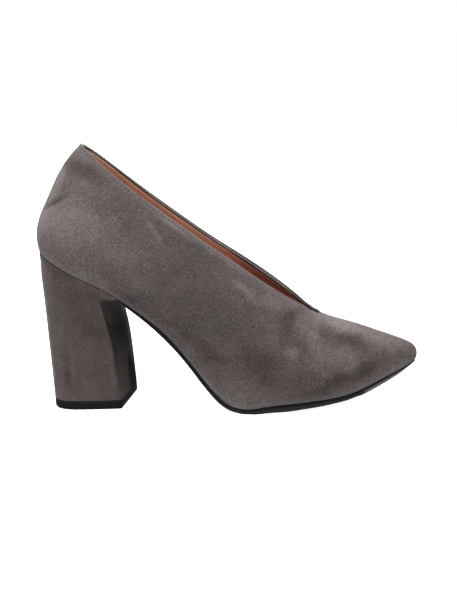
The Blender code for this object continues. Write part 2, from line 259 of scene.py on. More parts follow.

# Patches of brushed nap, and of painted light and shade, in the side view, by side: name, x and z of the
# middle, half length, half width, rise of the length towards the toe in degrees, and tone (plus is lighter)
NAP_AND_PAINTED_LIGHT_PATCHES = {
    OUTER: (
        ("quarter_field",       110,    62,   48,   25, -40,  -0.5),
        ("waist_band",           85,  49.5,   36,  4.5, -32, -0.55),
        ("counter_field",        26,   112,   22,   13, -10,   0.4),
        ("back_edge",             8,   112,   13,    5,  65,  0.25),
        ("under_collar",         36,   141,   17,  4.5, -24, -0.65),
        ("above_fold",           21,   134,    8,    5,  20, -0.25),
        ("fold_line",          17.6, 124.9,   11,  1.1,  24, -0.75),
        ("behind_pull",          62,   117,   15,    8, -45, -0.35),
        ("seat_band",            41,  80.5,   14,  2.6, -28,   0.2),
        ("pull_light",         75.7, 105.7, 10.5,  1.3, -54,  0.45),
        ("pull_dark",            84,   103,    9,  4.4, -50, -0.35),
        ("collar_light",       82.5, 111.6,    9,  2.4, -38,   0.4),
        ("collar_front",        112,    91,   26,  1.8, -35,  0.25),
        ("instep_light",      128.5,    69,    9,    2, -45,   0.4),
        ("instep_side",         142,    63,    7,  3.4, -38,   0.2),
        ("flex_dark",         150.5,  51.5,  6.5,    5,  10, -0.45),
        ("flex_dark_top",     156.5,    56,    6,  2.8,  10, -0.25),
        ("ball_dark",           134,  33.5,   17,  4.6,  -4,  -0.3),
        ("ball_light",        153.2,  34.5,  4.2,  3.8,   0,  0.65),
        ("vamp_light",        163.6,  43.5,  9.5,  4.6, -53,  0.25),
        ("vamp_side",           179,  27.5,   12,  4.6, -29,  -0.1),
        ("toe_band_dark",     186.5,  19.8,   18,  3.8,  18, -0.85),
        ("ridge_dark",          181,  38.6,   14,  3.6, -27, -0.65),
        ("toe_dark",            200,  30.5,    7,  3.6, -20,  -0.5),
        ("low_ball_dark",     138.6,  25.6,    9,  7.2,   0,  -0.5),
        ("low_joint_dark",    160.3,  19.9,  7.8, 10.2,   0,  -0.5),
        ("toe_side_dark",     178.6,  15.9, 15.6,  4.8,  20,  -0.3),
        ("toe_low_dark",        204,  22.9, 10.8,  3.6,  28, -0.15),
        ("toe_upper_dark",    190.5,  36.7, 10.2,    3, -18, -0.35),
        ("tip_side_dark",     210.4,  27.5,  7.2,  3.6, -10, -0.15),
        ("ball_mid_dark",     152.7,  41.2,  5.4,  8.4,  20,  -0.4),
        ("vamp_mid_dark",     171.5,  37.2,  8.4,  4.2, -35,  -0.2),
        ("quarter_light",      59.3,  92.5,   18,  7.2, -12,  0.25),
        ("under_pull_dark",    95.8,  94.3, 13.2,    6, -35,  -0.2),
        ("collar_dark",       115.6,  83.4, 13.2,  4.8, -33, -0.15),
        ("waist_top_dark",     67.8,  68.4,   18,  4.2, -27,  -0.3),
        ("waist_edge_light",   76.2,  54.2, 15.6,  2.7, -38,   0.4),
        ("waist_mid_dark",       94,    53,    9,  4.8, -40, -0.25),
        ("waist_low_dark",    107.9,  29.7,  9.6,    6, -40,  -0.3),
        ("waist_low_light",    99.3,  39.6,    6,    3, -45,   0.3),
        ("v_side_light",      157.4,  55.8,   12,    3, -25,   0.1),
        ("ridge_side",          182,    45,   15,  2.7, -18,  0.15),
        ("back_upper_light",   17.5,   135,   11,  3.4,  58,   0.6),
        ("instep_start",      122.7,  72.8,  6.6,    3, -48,   0.3),
        ("mid_light",          95.8,  73.4, 10.8,  5.4, -10,   0.2),
        ("counter_dark",       47.5, 123.3,  9.6,  7.2, -20, -0.15),
        ("toe_spot",          189.6,  23.5,  5.4,    3,  20,  0.25),
        ("toe_spot_two",        197,    31,    6,    3,   0,   0.3),
        ("fold_under",         18.2, 118.8,  8.4,  3.6,  25,  -0.1),
        ("seat_end_dark",        58,    68,   12,    3, -34,  -0.5),
        ("vamp_low_dark",     158.8,  35.3,    8,    4, -35, -0.25),
        ("quarter_foot",        128,    28,   20,   14,   0, -0.15),
        ("low_edge_dark",       166,    11,   16,    3,   5, -0.25),
        ("ridge_gap_dark",      189,  38.6,    6,  2.5, -18, -0.25),
        ("joint_floor_dark",  147.5,  17.6,   13,  5.5,   0,  -0.3),
        ("toe_left_dark",       172,    21,    8,    6,  10,  -0.3),
        ("toe_mid_dark",      194.5,    26,    5,    8,   0, -0.35),
        ("toe_mid_light",     185.5,  21.5,  6.5,    4,  20,  0.25),
        ("waist_rim_dark",       87,  39.5,   20,  2.8, -50, -0.55),
        ("streak_foot_dark",     76, 107.8,    3,    5,   0,  -0.3),
        ("under_streak_dark",  99.7,  95.2,    7,  3.5, -40,  -0.3),
    ),
    BOTH: (
        ("ridge_light",         205,    37,   14,  2.8, -23,   0.1),
        ("ridge_start",         179,    47,   13,  2.2, -19,   0.4),
        ("tip_dark",            217,    28,    5,    4, -30,  -0.2),
    ),
    INNER: (
        ("in_counter",           26,   112,   16,   10, -12,   0.4),
        ("in_counter_low",       27,    97,   16,    6, -20, -0.35),
        ("in_collar",            45,   138,   16,    5, -22, -0.45),
        ("in_pull",              79,   103,   13,  2.6, -53,  0.55),
        ("in_pull_dark",         87,   100,   10,  4.8, -50, -0.45),
        ("in_waist",             94,    52,   20,    9, -45,  -0.3),
        ("in_instep",           131,    66,   12,  3.4, -45,  0.45),
        ("in_flex",             150,    50,    8,    6,   0,  -0.6),
        ("in_ball",             149,    30,   10,    7,   0,   0.4),
        ("in_vamp",             171,    38,   11,    6, -22,  0.42),
        ("in_toe_dark",         190,    24,   14,  4.5,  15, -0.55),
        ("in_toe_ridge",        184,    40,   14,    4, -20,  -0.4),
    ),
}

# Painted highlights as tones and bands along the suede's edges, in millimetres from the edge, and how the
# patches' edges wander
FEATHER_BAND = 3.2
FEATHER_HIGHLIGHT = 0.42
FEATHER_LINE = 1.1
TOE_EDGE_HIGHLIGHT = 1.1
TOE_EDGE_BAND = 1.9
TOE_EDGE_X = (165.0, 195.0)
COLLAR_BAND = 3.4
EDGE_LINE = 0.6
PATCH_WANDER = 0.5
PATCH_WANDER_MOST = 3.0
PATCH_CRISP = 1.5
WANDER_SIZE = 9.0
WANDER_FINE_SIZE = 3.0
WANDER_FINE = 0.6

# Marks on the heel's cover: the faint fold across the outer side and patches of brushed nap and of painted
# light and shade, as above
HEEL_FOLD_Z = 46.0
HEEL_FOLD_X = (24.0, 43.0)
HEEL_FOLD_WIDE = 0.9
HEEL_FOLD_DEEP = 0.16
HEEL_NAP_AND_PAINTED_LIGHT_PATCHES = {
    OUTER: (
        ("top_dark",      26,   73,  18,   9, -28, -0.25),
        ("seat_back",   17.5, 84.5,  12, 4.5, -30, -0.45),
        ("side_dark",     32,   58,  10,   6, -20, -0.22),
        ("side_streak",   22,   49,   3,   7,   0, -0.22),
        ("low_back",    19.5,   17,   6,   7,   0, -0.25),
        ("fold_dark",     36,   48,   9,   5,   3,  -0.4),
        ("streak",        18,   28, 1.8,  14,   0,  -0.3),
        ("streak_two",    26,   56, 1.6,  12,   0,  -0.2),
        ("low_light",     28,   13,  18,   7,   0,  0.05),
    ),
    BOTH: (
        ("back_edge",      4,   44, 3.2,  36,   0,   0.6),
    ),
    INNER: (
        ("in_top",        22,   68,  16,  10, -28,  -0.3),
        ("in_streak",     25,   40, 2.4,  20,   0, -0.28),
        ("in_light",      32,   22,  14,   8,   0,  0.25),
    ),
}

# Painted shade and light on the heel's breast, which faces away from the light: dark, lighter at its foot
# and up in the cove, toned along its outer edge (near), lighter along its inner edge (rim), and darker low
# down on the inner side (far)
BREAST_SHADE = -1.0
BREAST_LOW_LIGHT = 0.4
BREAST_LOW_Z = (44.0, 18.0)
COVE_LIGHT = 2.0
COVE_Z = (45.0, 64.0)
BREAST_NEAR_Z = (9, 32, 47, 53, 60, 66)
BREAST_NEAR_LIGHT_AND_SHADE = (0.4, -0.1, -0.2, -0.8, -1.3, -0.8)
BREAST_NEAR_WIDE = (10.0, 4.4, 4.4, 12.0)
BREAST_NEAR_WIDE_Z = (9, 17, 48, 54)
BREAST_NEAR_FORWARD = (0.5, 1.0)
BREAST_NEAR_HARD = 1.6
BREAST_RIM_LIGHT = 1.1
BREAST_RIM_WIDE = (14.0, 4.0)
BREAST_RIM_Z = (4.0, 30.0)
BREAST_FAR_SHADE = -1.1
BREAST_FAR_Y = (0.0, 8.0)
BREAST_FAR_Z = (31.0, 19.0)

# How finely the skins are drawn
COLUMNS_BEHIND_THROAT = 170
COLUMNS_BEFORE_THROAT = 64
WALL_ROWS = 58
COLLAR_ROWS = 18
COLLAR_SHARE = 0.10
LINING_COLUMNS = (84, 32)
LINING_ROWS = 36
SOLE_STEPS = 150
SOLE_ACROSS = 14
SOCK_STEPS = 90
SOCK_ACROSS = 10
HEEL_SIDE_STEPS = 44
BREAST_STEPS = 16
HEEL_CORNER_STEPS = 6
HEEL_LEVELS = 84
HEEL_FINE_FROM = 0.85
COLUMN_CROWDING = 1.25
GIRTH_STEPS = 600
RIDGE_STEPS = 400
BOX_ROWS = 60
SHARE_ROWS = 40
SEWN_STEPS = 500
SEWN_ROWS = 240
SEWN_FROM = 0.7

# Camera: the picture's own size, the angles it was taken from and the point it looks at
PICTURE_TALL = 595
SENSOR = 36.0
CAMERA_AROUND = 8.0
CAMERA_ABOVE = 10.4
CAMERA_ROLL = 2.68
CAMERA_AWAY = 600.0
CAMERA_AIM = (114.0, 0.0, 62.3)
PIXELS_PER_MILLIMETRE = 1.67

# The floor is a white light table: its glow keeps the shoe's shadow faint
FLOOR_GLOW = 0.93
FLOOR_HALF = 6.0

# Heights at which the room's light is given, from straight below to straight above
ROOM_HEIGHTS = (0.30, 0.52, 0.90)


def column(table, names, name):
    return np.array([row[names.index(name)] for row in table], float)


def station(name):
    return column(STATIONS, STATION_COLUMNS, name)


def spline(knots, values, ends):
    """Cubic spline through the knots: ends 'flat' have no slope, ends 'free' no curvature."""
    count = len(knots)
    step = np.diff(knots)
    slope = np.diff(values) / step
    system = np.zeros((count, count))
    right = np.zeros(count)
    for i in range(1, count - 1):
        system[i, i - 1:i + 2] = 1 / step[i - 1], 2 / step[i - 1] + 2 / step[i], 1 / step[i]
        right[i] = 3 * (slope[i - 1] / step[i - 1] + slope[i] / step[i])
    for here, beside, edge in ((0, 1, 0), (count - 1, count - 2, -1)):
        system[here, here] = 1 if ends == "flat" else 2
        system[here, beside] = 0 if ends == "flat" else 1
        right[here] = 0 if ends == "flat" else 3 * slope[edge]
    tangent = np.linalg.solve(system, right)

    def at(x):
        i = np.clip(np.searchsorted(knots, x, side="right") - 1, 0, count - 2)
        t = (x - knots[i]) / step[i]
        ahead = t * t * (3 - 2 * t)
        bend = t * (1 - t) * step[i] * ((1 - t) * tangent[i] - t * tangent[i + 1])
        return (1 - ahead) * values[i] + ahead * values[i + 1] + bend

    return at


# Girth is the way along the feather line from the heel's back; every column is a smooth curve over it
HALF_WIDTH = (station("outer") + station("inner")) / 2
FEATHER_KNOTS = np.stack([station("foot_x"), HALF_WIDTH, station("foot_z")], 1)
GIRTH = np.append(0.0, np.cumsum(np.linalg.norm(np.diff(FEATHER_KNOTS, axis=0), axis=1)))
CURVE = {name: spline(GIRTH, station(name), "flat") for name in STATION_COLUMNS[1:]}
CURVE.update({name: spline(GIRTH, station(name), "free") for name in ("outer", "inner", "facing")})
CURVE["open"] = spline(GIRTH[:THROAT + 1], station("open")[:THROAT + 1], "free")
BED = spline(station("foot_x"), station("foot_z"), "free")
RIDGE = spline(station("top_x"), station("ridge_y"), "flat")
RIDGE_SPAN = (STATIONS[0][STATION_COLUMNS.index("top_x")], STATIONS[-1][STATION_COLUMNS.index("top_x")])
RIDGE_GIRTH = np.linspace(GIRTH[THROAT], GIRTH[-1], RIDGE_STEPS)
V_POINT = np.interp(V_POINT_X, CURVE["top_x"](RIDGE_GIRTH), RIDGE_GIRTH)
HEEL_LEVEL = column(HEEL, HEEL_COLUMNS, "level")
HEEL_CURVE = {name: spline(HEEL_LEVEL, column(HEEL, HEEL_COLUMNS, name), "free")
              for name in HEEL_COLUMNS[1:]}


def girth_at(x):
    fine = np.linspace(0, GIRTH[-1], GIRTH_STEPS)
    return np.interp(x, CURVE["foot_x"](fine), fine)


def bed_normal(x):
    """Upward normal of the shoe's bed in the side view, from its slope over a millimetre."""
    slope = BED(x + 0.5) - BED(x - 0.5)
    return np.stack([-slope, 0 * slope, 1 + 0 * slope], -1) / np.sqrt(1 + slope ** 2)[..., None]


def feather(girth, side):
    """Line where the upper meets the sole."""
    x = CURVE["foot_x"](girth)
    half = CURVE["outer" if side == OUTER else "inner"](girth)
    return np.stack([x, side * half, BED(x)], -1)


def eased(x, start, end):
    """Soft step from 0 at the start to 1 at the end."""
    t = np.clip((x - start) / (end - start), 0, 1)
    return t * t * (3 - 2 * t)


def bell(off, wide):
    """Soft hump: 1 in its middle, nearly nothing at twice its half width."""
    return np.exp(-(off / wide) ** 2)


def behind_point(girth, start, end):
    """Soft step from 0 to 1 between two distances behind the V's point."""
    return eased(V_POINT - girth, start, end)


def collar_line(girth, side):
    """Top of the wall: the collar, then the slit at the V's point, then the ridge."""
    slit = SLIT_HALF * np.clip((V_POINT - girth) / SLIT_RUN, 0, 1) * (girth > GIRTH[THROAT - 2])
    half = np.maximum(CURVE["open"](np.minimum(girth, GIRTH[THROAT])), slit)
    lap = behind_point(girth, *V_LAP_FROM) * behind_point(girth, *V_LAP_TO)
    high = CURVE["top_z"](girth) + lap * (V_INNER_RISE if side == INNER else -V_OUTER_DIP)
    high = high + np.interp(girth, RISE_GIRTH, INNER_RISE if side == INNER else OUTER_RISE)
    return np.stack([CURVE["top_x"](girth), CURVE["ridge_y"](girth) + side * half, high], -1)


def wall(girth, height, side):
    """Outside of the upper, from the feather line (height 0) to the collar or ridge (height 1)."""
    foot = feather(girth, side)
    top = collar_line(girth, side)
    facing = np.radians(CURVE["facing"](girth))
    out = np.stack([-np.cos(facing), side * np.sin(facing), 0 * facing], -1)
    inset = np.sum((foot - top) * out, -1)[..., None]
    along = top - foot + inset * out
    low = foot + CURVE["low_up"](girth)[..., None] * along + CURVE["low_out"](girth)[..., None] * out
    high = top - CURVE["drop"](girth)[..., None] * along + CURVE["shoulder"](girth)[..., None] * inset * out
    t = height[..., None]
    curve = (1 - t) ** 3 * foot + 3 * t * (1 - t) ** 2 * low + 3 * t * t * (1 - t) * high + t ** 3 * top
    hollow = BACK_HOLLOW * eased(girth, *BACK_HOLLOW_GIRTH)
    hollow = hollow * bell(curve[..., 2] - BACK_HOLLOW_Z, BACK_HOLLOW_HIGH)
    return curve - hollow[..., None] * out


def outline(girth, side, inset):
    """Feather line moved inward in plan, still on the bed."""
    step = 0.05
    behind, ahead = np.maximum(girth - step, 0), np.minimum(girth + step, GIRTH[-1])
    run = feather(ahead, side) - feather(behind, side)
    run[girth <= 0] = (0, side, 0)
    run[girth >= GIRTH[-1]] = (0, -side, 0)
    inward = np.stack([run[:, 1] * side, -run[:, 0] * side, 0 * run[:, 0]], -1)
    inset = np.broadcast_to(inset, girth.shape)[:, None]
    points = feather(girth, side) + inset * inward / np.linalg.norm(inward, axis=1)[:, None]
    points[:, 2] = BED(points[:, 0])
    return points


def box_middle():
    """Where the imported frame's origin is in the shoe's own millimetres, from the upper's box."""
    girth, height = np.meshgrid(np.linspace(0, GIRTH[-1], RIDGE_STEPS), np.linspace(0, 1, BOX_ROWS))
    both = np.concatenate([wall(girth, height, side).reshape(-1, 3) for side in (OUTER, INNER)])
    own = (both.min(axis=0) + both.max(axis=0)) / 2
    low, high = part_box("upper")
    packed = (np.array(low) + np.array(high)) / 2 / METRES
    return np.array([own[0] - packed[0], own[1] - packed[1], 0.0])


ORIGIN = box_middle()


def to_frame(points):
    return (np.asarray(points) - ORIGIN) * METRES


def proud(girth):
    """How far the collar stands above the wall's own top; nothing at the V's point."""
    return COLLAR_PROUD * behind_point(girth, *PROUD_FROM)


def reach(girth):
    """How far the suede comes down below the feather line; minus where the sole's edge stands up over it."""
    return np.interp(CURVE["foot_x"](girth), REACH_X, FEATHER_REACH)


def fold_width(girth):
    return np.interp(girth, FOLD_GIRTH, FOLD_WIDE)


def wall_share(girth, way):
    """Share of the wall's height that a way along it makes."""
    fine = wall(*np.meshgrid(girth, np.linspace(0, 1, SHARE_ROWS)), INNER)
    return way / np.linalg.norm(np.diff(fine, axis=0), axis=2).sum(axis=0)


def collar_distance(below, girth):
    """Millimetres in from the collar's edge, carried round the point of the V."""
    return np.hypot(below, APEX_STRETCH * np.maximum(girth - V_POINT, 0.0))


def side_share(side, points):
    """How far a mark of one side counts at each point: it fades over the ridge and round the back."""
    if side == BOTH:
        return np.ones(len(points))
    middle = RIDGE(np.clip(points[:, 0], *RIDGE_SPAN))
    return np.clip(0.5 + side * (points[:, 1] - middle) / SIDE_FADE, 0, 1)


def with_side(table):
    """Rows of a table that is kept by side, each with its side instead of its name."""
    return [(side, *row[1:]) for side, rows in table.items() for row in rows]


def crease_relief(points):
    """Soft troughs and ridges of the worn suede, in millimetres outward."""
    relief = np.zeros(len(points))
    for side, from_x, from_z, to_x, to_z, bow, width, depth in with_side(CREASES):
        run = np.array([to_x - from_x, to_z - from_z], float)
        long = np.linalg.norm(run)
        run /= long
        x, z = points[:, 0] - from_x, points[:, 2] - from_z
        share = (x * run[0] + z * run[1]) / long
        inside = np.clip(share, 0, 1)
        off = z * run[0] - x * run[1] - bow * 4 * inside * (1 - inside)
        shoulders = CREASE_SHOULDER * bell(np.abs(off) - CREASE_SHOULDER_OUT * width, width)
        ends = np.sin(np.pi * inside) ** CREASE_END_POWER
        relief -= depth * ends * (bell(off, width) - shoulders) * side_share(side, points)
    return relief


def nap_and_painted_light_tone(patches, points):
    """Lighter and darker brushing of the nap, with painted light and shade, its edges wandering a little."""
    wander = np.array([noise.noise_vector(Vector(point) / WANDER_SIZE)
                       + WANDER_FINE * noise.noise_vector(Vector(point) / WANDER_FINE_SIZE)
                       for point in points])
    tone = np.zeros(len(points))
    for side, middle_x, middle_z, long, wide, rise, amount in with_side(patches):
        turn = math.radians(rise)
        moved = points + min(PATCH_WANDER * wide, PATCH_WANDER_MOST) * wander
        x, z = moved[:, 0] - middle_x, moved[:, 2] - middle_z
        along = (x * math.cos(turn) + z * math.sin(turn)) / long
        across = (z * math.cos(turn) - x * math.sin(turn)) / wide
        tone += amount * np.exp(-(along ** 2 + across ** 2) ** PATCH_CRISP) * side_share(side, points)
    return tone


def unevenness(points, size, depth):
    """Slow hand-lasted waviness of a skin, in millimetres."""
    return np.array([depth * noise.noise(Vector(point) / size) for point in points])


def grid_skin(sections, closed, marks):
    """Grid laid over rows of points, closed round its columns if asked, with marks on its vertices."""
    rows, columns = sections.shape[:2]
    steps = columns if closed else columns - 1
    skin = bmesh.new()
    layers = {name: skin.verts.layers.float.new(name) for name in marks}
    bmesh.ops.create_grid(skin, x_segments=steps, y_segments=rows - 1, size=0.5)
    for vert in skin.verts:
        c = round((vert.co.x + 0.5) * steps) % columns
        r = round((vert.co.y + 0.5) * (rows - 1))
        vert.co = to_frame(sections[r, c])
        for name, layer in layers.items():
            vert[layer] = marks[name][r, c]
    bmesh.ops.remove_doubles(skin, verts=skin.verts, dist=WELD)
    bmesh.ops.dissolve_degenerate(skin, dist=WELD, edges=skin.edges)
    bmesh.ops.recalc_face_normals(skin, faces=skin.faces)
    skin.normal_update()
    return skin


def close_ends(skin):
    rims = [edge for edge in skin.edges if edge.is_boundary]
    bmesh.ops.holes_fill(skin, edges=rims, sides=0)
    bmesh.ops.recalc_face_normals(skin, faces=skin.faces)


def shoe_points(skin):
    return np.array([vert.co for vert in skin.verts]) / METRES + ORIGIN


def mark_values(skin, name):
    layer = skin.verts.layers.float[name]
    return np.array([vert[layer] for vert in skin.verts])


def set_mark(skin, name, values):
    layer = skin.verts.layers.float.get(name) or skin.verts.layers.float.new(name)
    for vert, value in zip(skin.verts, values):
        vert[layer] = value


def push_out(skin, relief):
    """Moves every vertex outward by its own relief, in millimetres."""
    normals = [vert.normal.copy() for vert in skin.verts]
    for vert, normal, out in zip(skin.verts, normals, relief):
        vert.co += normal * (float(out) * METRES)
    skin.normal_update()


def piece(name, skin, finishes, sharp=None):
    """Object at the origin from a bmesh, riding on the shoe, with its finish."""
    mesh = bpy.data.meshes.new(name)
    skin.to_mesh(mesh)
    skin.free()
    mesh.shade_smooth()
    if sharp is not None:
        mesh.set_sharp_from_angle(angle=math.radians(sharp))
    for finish in finishes:
        mesh.materials.append(finish)
    made = bpy.data.objects.new(name, mesh)
    bpy.context.scene.collection.objects.link(made)
    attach(made, "root")
    return made


def wall_girths(behind, before):
    """Girth values with the V's point on one of them."""
    back = V_POINT * (1 - np.linspace(1, 0, behind, endpoint=False) ** COLUMN_CROWDING)
    return np.concatenate([back, np.linspace(V_POINT, GIRTH[-1], before)])


def upper_ring(girths, heights, foot_shares, top_shares):
    """Both walls in one ring of columns, with the girth and the way along the wall from each edge."""
    girth, height = np.meshgrid(girths, heights)
    height = foot_shares + height * (top_shares - foot_shares)
    walls = [wall(girth, height, side) for side in (OUTER, INNER)]
    aboves = []
    for points in walls:
        step = np.linalg.norm(np.diff(points, axis=0), axis=2)
        aboves.append(np.concatenate([np.zeros((1, step.shape[1])), np.cumsum(step, axis=0)]))
    belows = [above[-1:] - above for above in aboves]

    def ring(outer, inner):
        return np.concatenate([outer, inner[:, -2:0:-1]], 1)

    return ring(*walls), {"girth": ring(girth, girth), "above": ring(*aboves), "below": ring(*belows)}


def suede_relief(points, girth, above, below):
    """Creases, the sewn groove, the soft roll of the collar's edge and the turned-in feather edge."""
    edge = collar_distance(below, girth)
    relief = crease_relief(points)
    for size, depth in UNEVEN:
        relief += unevenness(points, size, depth)
    collar = np.where(girth < V_POINT + SEWN_PAST_POINT, 1.0, 0.0)
    relief *= 1 - collar * bell(edge, COLLAR_SMOOTH)
    relief -= STITCH_GROOVE * collar * bell(edge - STITCH_IN, STITCH_GROOVE_WIDE)
    relief += COLLAR_ROLL * collar * bell(edge - COLLAR_ROLL_IN, COLLAR_ROLL_WIDE)
    relief -= FEATHER_TUCK * bell(above, FEATHER_TUCK_HIGH)
    return relief


def mark_suede(skin, points, girth, above, below):
    """Sets the nap's tone, with its painted light and shade, and the marks that the finishes read along the
    suede's edges, painted highlights among them.
    """
    edge = collar_distance(below, girth)
    # Painted highlights: a band along the collar's edge, and bands along the feather line and the toe's edge
    collar = np.where(girth < V_POINT + HIGHLIGHT_BAND_PAST_POINT, 1.0, 0.0) * bell(edge, COLLAR_BAND)
    feather_highlight = FEATHER_HIGHLIGHT * bell(above, FEATHER_BAND)
    feather_highlight += TOE_EDGE_HIGHLIGHT * eased(points[:, 0], *TOE_EDGE_X) * bell(above, TOE_EDGE_BAND)
    # Painted highlight: a thin lighter line along the outer collar's edge, where it catches the light
    wear_and_highlight = side_share(OUTER, points) * behind_point(girth, *EDGE_HIGHLIGHT_FROM)
    rim_kept = RIM_DARK_LEFT + (1 - RIM_DARK_LEFT) * eased(girth, *RIM_DARK_TO)
    # The nap mark holds nap tone and painted light and shade: the patches and the feather's highlight
    set_mark(skin, "nap", nap_and_painted_light_tone(NAP_AND_PAINTED_LIGHT_PATCHES, points) + feather_highlight)
    set_mark(skin, "highlight_band", np.maximum(collar, bell(above - FEATHER_LINE, FEATHER_LINE)))
    set_mark(skin, "past_fold", below - fold_width(girth))
    set_mark(skin, "edge_highlight", wear_and_highlight * bell(below, EDGE_LINE))
    set_mark(skin, "rim_dark", eased(girth, *RIM_DARK_FROM) * rim_kept)
    set_mark(skin, "throat", eased(girth, *THROAT_PAINTED_LIGHT))


def thicken(made, name, thick, inside, rim):
    """Gives a skin its thickness inward; inside and rim count on from its own finish to theirs."""
    shell = made.modifiers.new(name, "SOLIDIFY")
    shell.thickness = thick * METRES
    shell.offset = -1.0
    shell.use_even_offset = True
    shell.material_offset = inside
    shell.material_offset_rim = rim


def upper_suede(finishes):
    """Suede shell of the upper, its collar's cut edge rounded."""
    heights = np.append(np.linspace(0, 1 - COLLAR_SHARE, WALL_ROWS, endpoint=False),
                        np.linspace(1 - COLLAR_SHARE, 1, COLLAR_ROWS))
    girths = wall_girths(COLUMNS_BEHIND_THROAT, COLUMNS_BEFORE_THROAT)
    ring, marks = upper_ring(girths, heights, -wall_share(girths, reach(girths)),
                             1 + wall_share(girths, proud(girths)))
    skin = grid_skin(ring, True, marks)
    points = shoe_points(skin)
    girth, above, below = (mark_values(skin, name) for name in ("girth", "above", "below"))
    mark_suede(skin, points, girth, above, below)
    push_out(skin, suede_relief(points, girth, above, below))
    made = piece("upper_suede", skin, finishes)
    thicken(made, "suede_thickness", SUEDE_THICK, inside=1, rim=2)
    rim = made.modifiers.new("cut_edge", "BEVEL")
    rim.width = RIM_ROUND * METRES
    rim.segments = RIM_SEGMENTS
    rim.limit_method = "ANGLE"
    rim.angle_limit = math.radians(RIM_ANGLE)
    rim.harden_normals = True
    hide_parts("upper")
    return made


def lining(finishes):
    """Leather lining inside the suede, its top edge below the fold."""
    girths = wall_girths(*LINING_COLUMNS)
    drop = fold_width(girths) + np.interp(girths, FOLD_GIRTH, DARK_LINE_WIDE) - proud(girths)
    ring, marks = upper_ring(girths, np.linspace(0, 1, LINING_ROWS), LINING_FOOT,
                             1 - wall_share(girths, drop * behind_point(girths, *LINING_DROP_FROM)))
    skin = grid_skin(ring, True, marks)
    girth, below = (mark_values(skin, name) for name in ("girth", "below"))
    top_shade = np.interp(girth, LINING_TOP_SHADE_GIRTH, LINING_TOP_SHADE)
    wide = np.interp(girth, LINING_TOP_SHADE_GIRTH, LINING_TOP_SHADE_WIDE)
    # Painted light and shade on the lining: its colour follows the way from heel to toe, and its top edge is
    # darkened
    set_mark(skin, "forward", girth / GIRTH[-1])
    set_mark(skin, "top_shade", top_shade * np.exp(-below / wide))
    push_out(skin, crease_relief(shoe_points(skin)) - LINING_START)
    made = piece("lining", skin, finishes)
    thicken(made, "lining_thickness", LINING_THICK, inside=0, rim=1)
    return made


def past_jog(x, soft):
    """Steep step from 0 behind the sole's jog to 1 before it."""
    return 1 / (1 + np.exp(-(x - SOLE_JOG_X) / soft))


def plate(girth, inset, over, under, edge, across, nose_draw, dome):
    """Closed sections of a plate on the bed.

    Its edge is drawn in as the edge table says, more in front of the jog, and the dome lifts its
    underside at the edge.
    """
    outer, inner = outline(girth, OUTER, inset), outline(girth, INNER, inset)
    middle = (outer + inner) / 2
    half = np.maximum(np.linalg.norm((inner - outer)[:, :2], axis=1) / 2, 1e-6)
    nose = nose_draw * past_jog(middle[:, 0], SOLE_JOG_DRAW_SOFT)

    def level(down, draw, shares):
        drawn = draw + nose * down ** 2
        pull = np.minimum(drawn / np.maximum(half, drawn + 1e-6), PLATE_MOST_DRAWN)[:, None]
        near, far = outer + (middle - outer) * pull, inner + (middle - inner) * pull
        row = near[:, None] * (1 - shares[None, :, None]) + far[:, None] * shares[None, :, None]
        lift = np.broadcast_to(over + down * (under - over), girth.shape)[:, None]
        bowl = down * np.abs(2 * shares - 1) ** SOLE_DOME_POWER
        lift = lift + np.broadcast_to(dome, girth.shape)[:, None] * bowl
        return row + lift[..., None] * bed_normal(row[..., 0])

    whole = np.linspace(0, 1, across + 1)
    top, bottom = level(*edge[0], whole), level(*edge[-1], whole[::-1])
    far_side = [level(*row, np.array([1.0])) for row in edge[1:-1]]
    near_side = [level(*row, np.array([0.0])) for row in edge[-2:0:-1]]
    return np.concatenate([top, *far_side, bottom, *near_side], 1)


def outsole(finishes):
    """Sole from a thin edge at the heel's lip to the tip, flat under the ball, drawn in before its jog."""
    girth = np.linspace(girth_at(SOLE_START), GIRTH[-1], SOLE_STEPS)
    foot_x = CURVE["foot_x"](girth)
    ahead = past_jog(foot_x, SOLE_JOG_STEP_SOFT)
    to_tip = eased(foot_x, *SOLE_TIP_X)
    thick = CURVE["sole"](girth) + np.interp(foot_x, SOLE_MORE_X, SOLE_MORE)
    thick *= 1 - (1 - SOLE_RUN_OUT_THIN) * eased(foot_x, SOLE_START + SOLE_RUN_OUT, SOLE_START)
    thick *= 1 - (1 - SOLE_TIP_THIN) * to_tip
    over = -reach(girth) - LAYER_CLEAR
    under = over - thick + SOLE_JOG_STEP * ahead
    inset = SOLE_INSET + (SOLE_INSET_TIP - SOLE_INSET) * to_tip
    dome = np.interp(foot_x, SOLE_DOME_X, SOLE_DOME)
    sections = plate(girth, inset, over, under, SOLE_EDGE, SOLE_ACROSS, SOLE_JOG_DRAW, dome)
    sections[..., 2] = np.maximum(sections[..., 2], 0.0)
    x = sections[..., 0]
    down = ((BED(x) - sections[..., 2]) * bed_normal(x)[..., 2] + over[:, None]) / thick[:, None]
    wear_and_highlight = np.maximum(SOLE_RUBBED * eased(foot_x, *SOLE_RUBBED_X), ahead)
    skin = grid_skin(sections, True, {"worn": wear_and_highlight[:, None] * eased(down, *SOLE_RUBBED_DOWN)})
    close_ends(skin)
    made = piece("outsole_edge_and_tread", skin, finishes, sharp=50)
    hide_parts("outsole")
    return made


def sock(finishes):
    """Sock leather over the insole, its edge and underside in the darker edge finish."""
    girth = np.linspace(0, GIRTH[-1], SOCK_STEPS)
    sections = plate(girth, SOCK_CLEAR, SOCK_THICK, 0.0, SOCK_EDGE, SOCK_ACROSS, 0.0, 0.0)
    skin = grid_skin(sections, True, {})
    close_ends(skin)
    for face in skin.faces:
        face.material_index = 0 if face.normal.z > SOCK_TOP_TILT else 1
    made = piece("sock", skin, finishes, sharp=60)
    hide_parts("insole")
    return made


